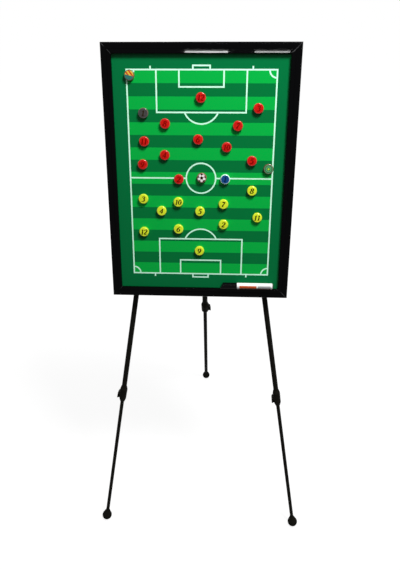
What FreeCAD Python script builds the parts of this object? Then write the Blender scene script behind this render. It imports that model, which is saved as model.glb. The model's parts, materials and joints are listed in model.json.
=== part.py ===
import FreeCAD, Part

# A magnetic football tactics board on a folding tripod stand.
# Millimetres and degrees. +Z is up, the printed face looks towards -Y, +X is to the viewer's right.
# The origin is on the floor, in the middle of the outline of the three feet.
import math
import os
from types import SimpleNamespace

import Sketcher
from FreeCAD import Placement, Rotation, Vector

# Driving sizes: name, number, meaning
SIZES = [
    ("board_width", 450.0, "outside width of the frame"),
    ("board_height", 600.0, "outside height of the frame"),
    ("board_lean", 12.0, "angle by which the board leans back"),
    ("rail_width", 24.0, "face width of a frame rail"),
    ("rail_wall", 2.0, "wall of the rail profile"),
    ("roll_radius", 4.0, "round on the outer front edge of a rail"),
    ("crown_sink", 1.4, "flat of a rail's front behind the ridge of its bead"),
    ("seat_width", 1.0, "groove between a rail's flat and its bead"),
    ("seat_depth", 0.8, "depth of that groove"),
    ("bead_width", 9.0, "sloping bead along the inner edge of a rail"),
    ("bead_round", 1.2, "round on the ridge of the bead"),
    ("channel_depth", 12.0, "outer edge of a rail to the bottom of its panel channel"),
    ("back_lip_reach", 18.0, "outer edge of a rail to the edge of its back lip"),
    ("face_recess", 8.0, "front of the frame to the printed face"),
    ("face_thickness", 0.6, "printed steel sheet"),
    ("core_thickness", 8.0, "fibreboard core"),
    ("back_thickness", 0.4, "sheet on the back"),
    ("panel_gap", 0.5, "room between the panel's edge and its channel"),
    ("key_reach", 45.0, "arm of a corner key"),
    ("key_clearance", 0.2, "room round a corner key in its chamber"),
    ("bracket_width", 210.0, "head bracket, side to side"),
    ("bracket_gauge", 2.0, "sheet of the head bracket"),
    ("bracket_rise", 9.0, "back sheet to the bracket's raised face"),
    ("web_above", 18.0, "raised face above the pivots"),
    ("web_below", 22.0, "raised face below the pivots"),
    ("flange_height", 12.0, "screwed flange of the bracket"),
    ("pivot_drop", 50.0, "top edge of the frame to the leg pivots"),
    ("pivot_spacing", 158.0, "between the two front pivots"),
    ("rear_stand", 17.0, "bracket's raised face to the rear pivot"),
    ("ear_gauge", 2.5, "ear that carries the rear leg"),
    ("ear_round", 8.0, "round end of an ear"),
    ("ear_clearance", 0.3, "room between an ear and the eye"),
    ("stop_gauge", 2.5, "tab that stops a front leg"),
    ("stop_rise", 9.0, "height of that tab on the raised face"),
    ("stop_length", 18.0, "length of that tab along the leg"),
    ("stop_gap", 0.1, "room at the leg stops"),
    ("screw_spacing", 84.0, "between neighbouring bracket screws"),
    ("screw_diameter", 4.0, "shank of a bracket screw"),
    ("screw_reach", 6.0, "depth of a bracket screw in the core"),
    ("screw_head", 8.0, "head diameter of a bracket screw"),
    ("screw_head_height", 2.2, "head height of a bracket screw"),
    ("bolt_diameter", 6.0, "pivot bolt"),
    ("bolt_head", 11.5, "pivot bolt head and nut across corners"),
    ("bolt_head_height", 4.0, "pivot bolt head"),
    ("nut_height", 5.0, "pivot nut"),
    ("washer_diameter", 13.0, "washer under a bolt head"),
    ("washer_gauge", 1.0, "washer thickness"),
    ("bolt_tail", 1.0, "bolt past its nut"),
    ("fit_clearance", 0.05, "radial room in a fixed or turning fit"),
    ("front_splay", 9.25, "front leg away from the board's upright"),
    ("eye_width", 16.0, "eye fitting across the leg"),
    ("eye_shoulder", 0.5, "eye fitting proud of the tube, on each side along its bolt"),
    ("eye_below", 22.0, "pivot to the top of the upper tube"),
    ("plug_length", 30.0, "plug of the eye fitting in the tube"),
    ("upper_diameter", 14.0, "upper tube"),
    ("upper_wall", 0.9, "wall of the upper tube"),
    ("upper_reach", 875.0, "pivot to the middle of the lock"),
    ("lower_diameter", 10.2, "lower tube"),
    ("lower_wall", 0.8, "wall of the lower tube"),
    ("lower_length", 800.0, "length of the lower tube"),
    ("rear_ratio", 1.3, "rear leg's sizes across to a front leg's"),
    ("front_pull", 447.0, "middle of the lock to a front foot's ball"),
    ("rear_pull", 457.6, "middle of the lock to the rear foot's ball"),
    ("slide_clearance", 0.15, "radial room of the guide bush in the upper tube"),
    ("bush_height", 12.0, "guide bush above the lower tube"),
    ("bush_stem", 15.0, "guide bush inside the lower tube"),
    ("lock_top", 25.0, "lock collar above its middle"),
    ("lock_bottom", 24.0, "lock collar below its middle"),
    ("tube_land", 1.6, "collar between its window and the end of the upper tube"),
    ("collar_mouth", 16.4, "collar diameter at its upper end"),
    ("collar_body", 20.8, "collar diameter below its shoulder"),
    ("collar_waist", 19.2, "collar diameter above its tail"),
    ("collar_tail", 12.6, "collar diameter at its lower end"),
    ("shoulder_height", 8.5, "taper at the collar's upper end"),
    ("tail_height", 9.5, "taper at the collar's lower end"),
    ("seam_drop", 2.5, "seam below the shoulder"),
    ("seam_depth", 0.8, "depth and width of the seam"),
    ("collar_clearance", 0.3, "radial room of the lower tube in the collar"),
    ("pin_diameter", 3.0, "lever pin"),
    ("pin_out", 9.3, "lever pin from the leg's axis"),
    ("pin_rise", 4.0, "lever pin above the middle of the lock"),
    ("boss_round", 5.2, "round boss of the collar about the pin"),
    ("boss_wall", 3.0, "boss beside the lever"),
    ("lever_width", 8.0, "lever along its pin"),
    ("lever_clearance", 0.3, "room round the lever"),
    ("lever_seat", 6.7, "leg's axis to the flat behind the lever"),
    ("lever_gauge", 8.2, "thickness of the lever's arm"),
    ("lever_drop", 17.5, "lever's tip below the pin"),
    ("lever_slant", 3.0, "slope of the lever's end, tip to collar"),
    ("lever_flare", 0.9, "lever's tip outside its root"),
    ("finger_gap", 1.5, "room for a fingertip below the lever"),
    ("ball_diameter", 28.8, "ball of a foot"),
    ("ball_height", 13.2, "centre of a foot's ball above the floor"),
    ("neck_diameter", 12.6, "top of a foot"),
    ("neck_height", 20.0, "top of a foot above its ball's centre"),
    ("neck_angle", 34.0, "angle on the ball where the neck begins"),
    ("tube_seat", 2.0, "end of the lower tube above the ball's centre"),
    ("magnet_diameter", 23.5, "round magnet"),
    ("magnet_gap", 2.0, "least room between a magnet and a rail"),
    ("magnet_height", 7.5, "round magnet with its dome"),
    ("magnet_round", 2.0, "round on a magnet's front edge"),
    ("magnet_dome", 0.4, "rise of a magnet's front"),
    ("disc_diameter", 18.0, "ferrite disc in a magnet"),
    ("disc_thickness", 4.0, "ferrite disc"),
    ("disc_clearance", 0.1, "room round a ferrite disc"),
    ("marker_diameter", 16.0, "marker barrel"),
    ("marker_gap", 13.5, "marker's end to the right rail"),
    ("marker_clearance", 0.3, "room between the marker and the board"),
    ("barrel_length", 90.0, "marker barrel outside its cap"),
    ("barrel_round", 1.0, "round at the barrel's end"),
    ("tail_diameter", 10.0, "plug in the end of the barrel"),
    ("tail_length", 2.0, "that plug outside the barrel"),
    ("marker_neck", 12.0, "neck of the barrel inside the cap"),
    ("marker_neck_length", 22.0, "length of that neck"),
    ("nib_diameter", 5.0, "felt nib"),
    ("nib_length", 8.0, "nib outside the neck"),
    ("nib_hold", 6.0, "nib inside the neck"),
    ("cap_diameter", 16.6, "marker cap"),
    ("cap_length", 44.0, "marker cap, longest side"),
    ("cap_slant", 9.0, "difference between the cap's long and short sides"),
    ("cap_hollow", 32.5, "depth of the cap's bore"),
]

# Where the magnets lie: name, and shares of the way from the board's middle
# to the right and to the top rail, as far as a magnet can go
MAGNETS = [
    ("magnet_red_02", -0.273, 0.000),
    ("magnet_red_03", 0.711, 0.615),
    ("magnet_red_04", -0.449, 0.214),
    ("magnet_red_05", 0.652, 0.168),
    ("magnet_red_06", -0.027, 0.351),
    ("magnet_red_07", 0.465, 0.469),
    ("magnet_red_08", -0.439, 0.485),
    ("magnet_red_09", -0.733, 0.130),
    ("magnet_red_10", 0.332, 0.286),
    ("magnet_red_11", -0.706, 0.332),
    ("magnet_red_12", 0.005, 0.702),
    ("magnet_yellow_02", 0.310, -0.416),
    ("magnet_yellow_03", -0.738, -0.183),
    ("magnet_yellow_04", -0.503, -0.294),
    ("magnet_yellow_05", 0.000, -0.294),
    ("magnet_yellow_06", -0.283, -0.466),
    ("magnet_yellow_07", 0.305, -0.225),
    ("magnet_yellow_08", 0.668, -0.099),
    ("magnet_yellow_09", -0.005, -0.676),
    ("magnet_yellow_10", -0.283, -0.210),
    ("magnet_yellow_11", 0.749, -0.347),
    ("magnet_yellow_12", -0.743, -0.496),
    ("magnet_keeper_grey", -0.706, 0.573),
    ("magnet_keeper_blue", 0.321, 0.004),
    ("magnet_ball", 0.021, 0.015),
    ("magnet_picture_left", -0.861, 0.882),
    ("magnet_picture_right", 0.866, 0.099),
]

# Points of a sketch's edge, and its origin
START, END, CENTER = 1, 2, 3
ORIGIN = (-1, START)

# A cutting shape reaches this many times past what it cuts.
OVERCUT = 3

X_AXIS = Vector(1, 0, 0)
Y_AXIS = Vector(0, 1, 0)
Z_AXIS = Vector(0, 0, 1)


class Size:
    """A number together with the sheet formula that gives it."""

    def __init__(self, number, formula):
        self.number = number
        self.formula = formula

    def __add__(self, other):
        return Size(self.number + plain(other), f"({self.formula} + {words(other)})")

    def __radd__(self, other):
        return self + other

    def __sub__(self, other):
        return Size(self.number - plain(other), f"({self.formula} - {words(other)})")

    def __rsub__(self, other):
        return Size(plain(other) - self.number, f"({words(other)} - {self.formula})")

    def __mul__(self, other):
        return Size(self.number * plain(other), f"({self.formula} * {words(other)})")

    def __rmul__(self, other):
        return self * other

    def __truediv__(self, other):
        return Size(self.number / plain(other), f"({self.formula} / {words(other)})")

    def __neg__(self):
        return Size(-self.number, f"(0 - {self.formula})")


def plain(value):
    return value.number if isinstance(value, Size) else float(value)


def words(value):
    return value.formula if isinstance(value, Size) else f"({value:.9f})"


def root(size):
    return Size(math.sqrt(size.number), f"sqrt({size.formula})")


doc = FreeCAD.newDocument("tactics_board")
sheet = doc.addObject("Spreadsheet::Sheet", "sizes")
for row, (alias, number, meaning) in enumerate(SIZES, start=1):
    sheet.set(f"A{row}", alias)
    sheet.set(f"B{row}", str(number))
    sheet.setAlias(f"B{row}", alias)
    sheet.set(f"C{row}", meaning)
doc.recompute()
dim = SimpleNamespace(**{alias: Size(float(sheet.get(alias)), f"sizes.{alias}") for alias, _, _ in SIZES})
nodes = []


def bind(thing, name, size):
    """Give a property its size and tie it to the sheet."""
    setattr(thing, name, plain(size))
    if isinstance(size, Size):
        thing.setExpression(name, size.formula)


def at(x, y, z):
    return Placement(Vector(plain(x), plain(y), plain(z)), Rotation())


def turned(axis, degrees):
    return Placement(Vector(), Rotation(axis, degrees))


def node(thing, name):
    """Name a finished sub-part."""
    thing.Label = name
    nodes.append(thing)


def box(name, size_x, size_y, size_z, place):
    thing = doc.addObject("Part::Box", name)
    bind(thing, "Length", size_x)
    bind(thing, "Width", size_y)
    bind(thing, "Height", size_z)
    thing.Placement = place
    return thing


def cylinder(name, diameter, height, place):
    thing = doc.addObject("Part::Cylinder", name)
    bind(thing, "Radius", diameter / 2)
    bind(thing, "Height", height)
    thing.Placement = place
    return thing


def hexagon(name, across_corners, height, place):
    thing = doc.addObject("Part::Prism", name)
    thing.Polygon = 6
    bind(thing, "Circumradius", across_corners / 2)
    bind(thing, "Height", height)
    thing.Placement = place
    return thing


def cut(name, base, tool):
    thing = doc.addObject("Part::Cut", name)
    thing.Base = base
    thing.Tool = tool
    return thing


def fuse(name, base, tool):
    thing = doc.addObject("Part::Fuse", name)
    thing.Base = base
    thing.Tool = tool
    return thing


def group(name, things):
    """Keep several separate solids together."""
    thing = doc.addObject("Part::Compound", name)
    thing.Links = things
    return thing


def body_at(name, place):
    body = doc.addObject("PartDesign::Body", name)
    body.Placement = place
    return body


def sketch_in(body, role, name):
    sketch = body.newObject("Sketcher::SketchObject", f"{body.Name}_{name}")
    plane = next(feature for feature in body.Origin.OriginFeatures if feature.Role == role)
    sketch.AttachmentSupport = [(plane, "")]
    sketch.MapMode = "FlatFace"
    return sketch


def constrain(sketch, kind, places, size):
    index = sketch.addConstraint(Sketcher.Constraint(kind, *places, plain(size)))
    if isinstance(size, Size):
        sketch.setExpression(f"Constraints[{index}]", size.formula)


def outline(sketch, corners):
    """Close lines and arcs through the corners and tie each corner to the sheet.

    A corner is (across, up). One that an arc leads to is (across, up, radius, turn),
    where turn is 1 for an arc to the left and -1 for one to the right.
    """
    edges = []
    for index, here in enumerate(corners):
        there = corners[(index + 1) % len(corners)]
        start = Vector(plain(here[0]), plain(here[1]), 0)
        end = Vector(plain(there[0]), plain(there[1]), 0)
        if len(there) == 2:
            edge = sketch.addGeometry(Part.LineSegment(start, end), False)
            edges.append((edge, START, END))
            continue
        radius, turn = plain(there[2]), there[3]
        chord = end - start
        side = Vector(-chord.y, chord.x, 0).normalize() * turn
        center = (start + end) / 2 + side * math.sqrt(max(radius**2 - chord.Length**2 / 4, 0))
        angles = [math.atan2(point.y - center.y, point.x - center.x) for point in (start, end)]
        ends = (START, END) if turn > 0 else (END, START)
        circle = Part.Circle(center, Z_AXIS, radius)
        edge = sketch.addGeometry(Part.ArcOfCircle(circle, *angles[::turn]), False)
        edges.append((edge, *ends))
        constrain(sketch, "Radius", (edge,), there[2])
    for index, (edge, start, end) in enumerate(edges):
        following, following_start, _ = edges[(index + 1) % len(edges)]
        sketch.addConstraint(Sketcher.Constraint("Coincident", edge, end, following, following_start))
        constrain(sketch, "DistanceX", (*ORIGIN, edge, start), corners[index][0])
        constrain(sketch, "DistanceY", (*ORIGIN, edge, start), corners[index][1])


def circle(sketch, across, up, diameter):
    center = Vector(plain(across), plain(up), 0)
    edge = sketch.addGeometry(Part.Circle(center, Z_AXIS, plain(diameter) / 2), False)
    constrain(sketch, "DistanceX", (*ORIGIN, edge, CENTER), across)
    constrain(sketch, "DistanceY", (*ORIGIN, edge, CENTER), up)
    constrain(sketch, "Diameter", (edge,), diameter)


def pad(body, sketch, depth, side_type="Symmetric", reversed_way=False):
    feature = body.newObject("PartDesign::Pad", f"{sketch.Name}_pad")
    feature.Profile = sketch
    feature.SideType = side_type
    feature.Reversed = reversed_way
    bind(feature, "Length", depth)
    doc.recompute()


def removed(body, feature, before):
    """A cut that takes nothing away is an error."""
    doc.recompute()
    if not body.Shape.Volume < before - 1e-6:
        raise RuntimeError(f"{feature.Name} cuts nothing")


def pocket(body, sketch, depth):
    before = body.Shape.Volume
    feature = body.newObject("PartDesign::Pocket", f"{sketch.Name}_pocket")
    feature.Profile = sketch
    feature.SideType = "Symmetric"
    bind(feature, "Length", depth)
    removed(body, feature, before)


def revolve(body, sketch, axis):
    feature = body.newObject("PartDesign::Revolution", f"{sketch.Name}_turned")
    feature.Profile = sketch
    feature.ReferenceAxis = (sketch, [axis])
    feature.Angle = 360
    doc.recompute()


def groove(body, sketch, axis):
    before = body.Shape.Volume
    feature = body.newObject("PartDesign::Groove", f"{sketch.Name}_groove")
    feature.Profile = sketch
    feature.ReferenceAxis = (sketch, [axis])
    feature.Angle = 360
    removed(body, feature, before)


def sine(angle):
    return math.sin(math.radians(plain(angle)))


def cosine(angle):
    return math.cos(math.radians(plain(angle)))


# Sizes across a leg. The rear leg is of a heavier gauge than the two in front.
SIZES_ACROSS = [
    "eye_width", "upper_diameter", "lower_diameter", "collar_mouth", "collar_body", "collar_waist",
    "collar_tail", "pin_out", "boss_round", "lever_seat", "lever_gauge", "neck_diameter",
]


def leg_sizes(ratio):
    """All sizes, those across the leg in a ratio to a front leg's, and what follows from them."""
    size = SimpleNamespace(**vars(dim))
    for name in SIZES_ACROSS:
        setattr(size, name, getattr(dim, name) * ratio)
    # The eye fitting is a little thicker than the tube, so that the leg folds clear of the bracket.
    size.eye_thickness = size.upper_diameter + size.eye_shoulder * 2
    size.upper_bore = size.upper_diameter - size.upper_wall * 2
    size.lower_bore = size.lower_diameter - size.lower_wall * 2
    size.lever_inner = size.lever_seat + size.lever_clearance
    size.lever_outer = size.lever_inner + size.lever_gauge
    size.window_top = size.pin_rise + size.lever_outer - size.pin_out + size.lever_clearance * 2
    size.window_bottom = size.pin_rise - size.pin_out + size.lower_diameter / 2
    size.lock_seat = size.window_top + size.tube_land
    return size


front_leg = leg_sizes(1)
rear_leg = leg_sizes(dim.rear_ratio)

# Depths behind the front of the frame
panel_thickness = dim.face_thickness + dim.core_thickness + dim.back_thickness
panel_back = dim.face_recess + panel_thickness
rail_depth = panel_back + dim.rail_wall
chamber_front = dim.crown_sink + dim.rail_wall
web_face = panel_back + dim.bracket_rise
leg_depth = web_face + front_leg.eye_thickness / 2
pivot_height = dim.board_height / 2 - dim.pivot_drop

# The board's own frame: X to the right, Y into the board, Z up the board, from the middle of its front.
# The front feet stand at the floor, so the legs and the lean give the height of the pivots.
front_length = dim.upper_reach + dim.front_pull
rear_length = dim.upper_reach + dim.rear_pull
rise_along_board = front_length.number * cosine(dim.front_splay)
pivot_y = rise_along_board * sine(dim.board_lean)
pivot_z = dim.ball_height.number + rise_along_board * cosine(dim.board_lean)
lean_back = turned(X_AXIS, -dim.board_lean.number)
board_frame = at(0, pivot_y, pivot_z) * lean_back * at(0, -leg_depth, -pivot_height)

# The rear leg opens until its foot stands on the same floor.
rear_pivot = board_frame.multVec(Vector(0, plain(web_face + dim.rear_stand), pivot_height.number))
rear_drop = rear_pivot.z - dim.ball_height.number
rear_lean = math.degrees(math.acos(rear_drop / rear_length.number))
rear_opening = rear_lean + dim.board_lean.number
stand_depth = rear_pivot.y + rear_length.number * sine(rear_lean)

# Everything moves forward by half the stand, so that the origin is in the middle of the feet.
to_middle = at(0, -stand_depth / 2, 0)
board_frame = to_middle * board_frame
rear_pivot = to_middle.multVec(rear_pivot)


def on_board(x, y, z):
    return board_frame * at(x, y, z)


# Frame: four lengths of one hollow profile, mitred at the corners, with a bead along the inner edge
def frame_rail(name, length, span, quarter_turns):
    body = body_at(name, board_frame * turned(Y_AXIS, 90 * quarter_turns))
    edge = span / 2
    inner_edge = edge - dim.rail_width
    bead_edge = inner_edge + dim.bead_width
    seat_bottom = dim.crown_sink + dim.seat_depth
    sketch = sketch_in(body, "YZ_Plane", "profile")
    outline(sketch, [
        (rail_depth, edge),
        (dim.crown_sink + dim.roll_radius, edge),
        (dim.crown_sink, edge - dim.roll_radius, dim.roll_radius, 1),
        (dim.crown_sink, bead_edge + dim.seat_width),
        (seat_bottom, bead_edge + dim.seat_width),
        (seat_bottom, bead_edge),
        (dim.crown_sink, bead_edge),
        (0, inner_edge + dim.bead_round),
        (dim.bead_round, inner_edge, dim.bead_round, 1),
        (dim.face_recess, inner_edge),
        (dim.face_recess, edge - dim.channel_depth),
        (panel_back, edge - dim.channel_depth),
        (panel_back, edge - dim.back_lip_reach),
        (rail_depth, edge - dim.back_lip_reach),
    ])
    outline(sketch, [
        (chamber_front, edge - dim.rail_wall),
        (panel_back, edge - dim.rail_wall),
        (panel_back, edge - dim.channel_depth + dim.rail_wall),
        (chamber_front, edge - dim.channel_depth + dim.rail_wall),
    ])
    pad(body, sketch, length)
    mitres = sketch_in(body, "XZ_Plane", "mitres")
    over = dim.rail_width * OVERCUT
    for side in (-1, 1):
        end = length / 2 * side
        outline(mitres, [
            (end + over * side, edge + over),
            (end + over * side, edge - over),
            (end - over * side, edge - over),
        ])
    pocket(body, mitres, rail_depth * OVERCUT)
    node(body, name)


frame_rail("frame_rail_top", dim.board_width, dim.board_height, 0)
frame_rail("frame_rail_right", dim.board_height, dim.board_width, 1)
frame_rail("frame_rail_bottom", dim.board_width, dim.board_height, 2)
frame_rail("frame_rail_left", dim.board_height, dim.board_width, 3)

# Corner keys: an angle of flat bar in the hollow of each mitre
key_front = chamber_front + dim.key_clearance
key_depth = panel_back - chamber_front - dim.key_clearance * 2
key_width = dim.channel_depth - dim.rail_wall * 2 - dim.key_clearance * 2
key_inset = dim.rail_wall + dim.key_clearance
keys = []
for side in (-1, 1):
    for level in (-1, 1):
        corner = f"corner_key_{'lower' if level < 0 else 'upper'}_{'left' if side < 0 else 'right'}"
        outer_x = dim.board_width / 2 - key_inset
        outer_z = dim.board_height / 2 - key_inset
        across_x = outer_x - dim.key_reach if side > 0 else -outer_x
        across_z = outer_z - key_width if level > 0 else -outer_z
        upright_x = outer_x - key_width if side > 0 else -outer_x
        upright_z = outer_z - dim.key_reach if level > 0 else -outer_z
        arm_across = box(f"{corner}_across", dim.key_reach, key_depth, key_width,
                         on_board(across_x, key_front, across_z))
        arm_upright = box(f"{corner}_upright", key_width, key_depth, dim.key_reach,
                          on_board(upright_x, key_front, upright_z))
        keys.append(fuse(corner, arm_across, arm_upright))
node(group("corner_keys", keys), "corner_keys")

# Panel: printed steel face, fibreboard core and back sheet in the rails' channel
sheet_width = dim.board_width - dim.channel_depth * 2 - dim.panel_gap * 2
sheet_height = dim.board_height - dim.channel_depth * 2 - dim.panel_gap * 2


def panel_layer(name, depth, thickness):
    return box(name, sheet_width, thickness, sheet_height,
               on_board(-sheet_width / 2, depth, -sheet_height / 2))


core_depth = dim.face_recess + dim.face_thickness
back_depth = core_depth + dim.core_thickness
node(panel_layer("face_sheet", dim.face_recess, dim.face_thickness), "face_sheet")

# Bracket screws, each in a pilot hole through the back sheet into the core
screw_places = []
for column in (-1, 0, 1):
    for level in (dim.web_above + dim.flange_height / 2, -dim.web_below - dim.flange_height / 2):
        screw_places.append((dim.screw_spacing * column, level))
screw_hole = dim.screw_diameter + dim.fit_clearance * 2
screw_end = back_depth - dim.screw_reach
flange_back = panel_back + dim.bracket_gauge


def along_depth(x, depth, z):
    """A place on the board whose Z points out of its back."""
    return on_board(x, depth, z) * turned(X_AXIS, -90)


def pilot_holes(name):
    holes = []
    for index, (x, level) in enumerate(screw_places):
        place = along_depth(x, screw_end - dim.fit_clearance, pivot_height + level)
        holes.append(cylinder(f"{name}_{index}", screw_hole, dim.core_thickness * OVERCUT, place))
    return group(name, holes)


node(cut("core_panel", panel_layer("core_blank", core_depth, dim.core_thickness),
         pilot_holes("core_holes")), "core_panel")
node(cut("back_sheet", panel_layer("back_blank", back_depth, dim.back_thickness),
         pilot_holes("back_holes")), "back_sheet")

# Head bracket: a pressed channel on the back, two ears for the rear leg, two stop tabs for the front legs
bolt_hole = dim.bolt_diameter + dim.fit_clearance * 2
slot_width = rear_leg.eye_thickness + dim.ear_clearance * 2
ear_span = slot_width + dim.ear_gauge * 2


def head_bracket():
    body = body_at("head_bracket", on_board(0, panel_back, pivot_height))
    gauge, rise = dim.bracket_gauge, dim.bracket_rise
    top, bottom = dim.web_above, -dim.web_below
    channel = sketch_in(body, "YZ_Plane", "channel")
    outline(channel, [
        (0, bottom - dim.flange_height),
        (gauge, bottom - dim.flange_height),
        (gauge, bottom),
        (rise, bottom),
        (rise, top),
        (gauge, top),
        (gauge, top + dim.flange_height),
        (0, top + dim.flange_height),
        (0, top - gauge),
        (rise - gauge, top - gauge),
        (rise - gauge, bottom + gauge),
        (0, bottom + gauge),
    ])
    pad(body, channel, dim.bracket_width)

    ears = sketch_in(body, "YZ_Plane", "ears")
    pivot = rise + dim.rear_stand
    outline(ears, [
        (rise - gauge / 2, -dim.ear_round),
        (pivot, -dim.ear_round),
        (pivot + dim.ear_round, 0, dim.ear_round, 1),
        (pivot, dim.ear_round, dim.ear_round, 1),
        (rise - gauge / 2, dim.ear_round),
    ])
    pad(body, ears, ear_span)
    slot = sketch_in(body, "YZ_Plane", "slot")
    outline(slot, [
        (rise, -dim.ear_round * OVERCUT),
        (pivot + dim.ear_round * OVERCUT, -dim.ear_round * OVERCUT),
        (pivot + dim.ear_round * OVERCUT, dim.ear_round * OVERCUT),
        (rise, dim.ear_round * OVERCUT),
    ])
    pocket(body, slot, slot_width)

    tabs = sketch_in(body, "XZ_Plane", "stop_tabs")
    tabs.AttachmentOffset = at(0, 0, -(rise - gauge / 2))
    tabs.setExpression(".AttachmentOffset.Base.z", (-(rise - gauge / 2)).formula)
    inner = front_leg.eye_width / 2 + dim.stop_gap
    outer = inner + dim.stop_gauge
    for side in (-1, 1):
        corners = []
        for along, off in ((0, inner), (dim.stop_length, inner), (dim.stop_length, outer), (0, outer)):
            across = dim.pivot_spacing / 2 + along * sine(dim.front_splay) + off * cosine(dim.front_splay)
            up = off * sine(dim.front_splay) - along * cosine(dim.front_splay)
            corners.append((across * side, up))
        outline(tabs, corners)
    pad(body, tabs, gauge / 2 + dim.stop_rise, "One side", True)

    leg_holes = sketch_in(body, "XZ_Plane", "leg_holes")
    for side in (-1, 1):
        circle(leg_holes, dim.pivot_spacing / 2 * side, 0, bolt_hole)
    for x, level in screw_places:
        circle(leg_holes, x, level, screw_hole)
    pocket(body, leg_holes, rise * OVERCUT)
    ear_holes = sketch_in(body, "YZ_Plane", "ear_holes")
    circle(ear_holes, pivot, 0, bolt_hole)
    pocket(body, ear_holes, ear_span * OVERCUT)
    node(body, "head_bracket")


head_bracket()

# Fasteners of the bracket: wood screws, and the legs' pivot bolts with washers and nuts
fasteners = []
for index, (x, level) in enumerate(screw_places):
    name = f"bracket_screw_{index + 1}"
    shank = cylinder(f"{name}_shank", dim.screw_diameter, flange_back - screw_end,
                     along_depth(x, screw_end, pivot_height + level))
    head = doc.addObject("Part::Cone", f"{name}_head")
    bind(head, "Radius1", dim.screw_head / 2)
    bind(head, "Radius2", dim.screw_head / 2 - dim.screw_head_height / 2)
    bind(head, "Height", dim.screw_head_height)
    head.Placement = along_depth(x, flange_back, pivot_height + level)
    fasteners.append(fuse(name, shank, head))


def pivot_bolt(name, place, grip):
    """A bolt along -Z from its washer, through the grip, into its nut."""
    nut_top = -grip - dim.washer_gauge
    shank_length = dim.washer_gauge + grip + dim.nut_height + dim.bolt_tail
    shank = cylinder(f"{name}_shank", dim.bolt_diameter, shank_length, place * at(0, 0, -shank_length))
    head = hexagon(f"{name}_head", dim.bolt_head, dim.bolt_head_height, place)
    fasteners.append(fuse(name, shank, head))
    washer_place = place * at(0, 0, -dim.washer_gauge)
    washer = cylinder(f"{name}_washer_blank", dim.washer_diameter, dim.washer_gauge, washer_place)
    washer_hole = cylinder(f"{name}_washer_hole", bolt_hole, dim.washer_gauge, washer_place)
    fasteners.append(cut(f"{name}_washer", washer, washer_hole))
    nut_place = place * at(0, 0, nut_top - dim.nut_height)
    nut = hexagon(f"{name}_nut_blank", dim.bolt_head, dim.nut_height, nut_place)
    nut_hole = cylinder(f"{name}_nut_hole", bolt_hole, dim.nut_height, nut_place)
    fasteners.append(cut(f"{name}_nut", nut, nut_hole))


front_washer = web_face + front_leg.eye_thickness + dim.washer_gauge
for name, side in (("front_left", -1), ("front_right", 1)):
    pivot_bolt(f"{name}_pivot_bolt", along_depth(dim.pivot_spacing / 2 * side, front_washer, pivot_height),
               front_leg.eye_thickness + dim.bracket_gauge)
rear_bolt_place = on_board(ear_span / 2 + dim.washer_gauge, web_face + dim.rear_stand, pivot_height)
pivot_bolt("rear_pivot_bolt", rear_bolt_place * turned(Y_AXIS, 90), ear_span)
node(group("bracket_fasteners", fasteners), "bracket_fasteners")

# Legs. A leg's frame has its pivot at the origin, Z up the leg and the lock's lever on its -X side.
# The heel of the eye meets the bracket's raised face when the rear leg is open.
heel = (dim.rear_stand - dim.stop_gap - rear_leg.eye_width / 2 * cosine(rear_opening)) / sine(rear_opening)


def tube(name, diameter, bore, length, place):
    outside = cylinder(f"{name}_outside", diameter, length, place)
    inside = cylinder(f"{name}_inside", bore, length, place)
    return cut(name, outside, inside)


def leg_eye(name, place, size):
    """Moulded fitting: a block with a cross hole for the bolt, over a plug in the tube."""
    body = body_at(name, place)
    block = sketch_in(body, "XZ_Plane", "block")
    half = size.eye_width / 2
    outline(block, [(-half, -size.eye_below), (half, -size.eye_below), (half, heel), (-half, heel)])
    pad(body, block, size.eye_thickness)
    plug = sketch_in(body, "XZ_Plane", "plug")
    plug_radius = size.upper_bore / 2 - size.fit_clearance
    outline(plug, [
        (0, -size.eye_below),
        (0, -size.eye_below - size.plug_length),
        (plug_radius, -size.eye_below - size.plug_length),
        (plug_radius, -size.eye_below),
    ])
    revolve(body, plug, "V_Axis")
    hole = sketch_in(body, "XZ_Plane", "hole")
    circle(hole, 0, 0, bolt_hole)
    pocket(body, hole, size.eye_thickness * OVERCUT)
    node(body, name)


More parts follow.
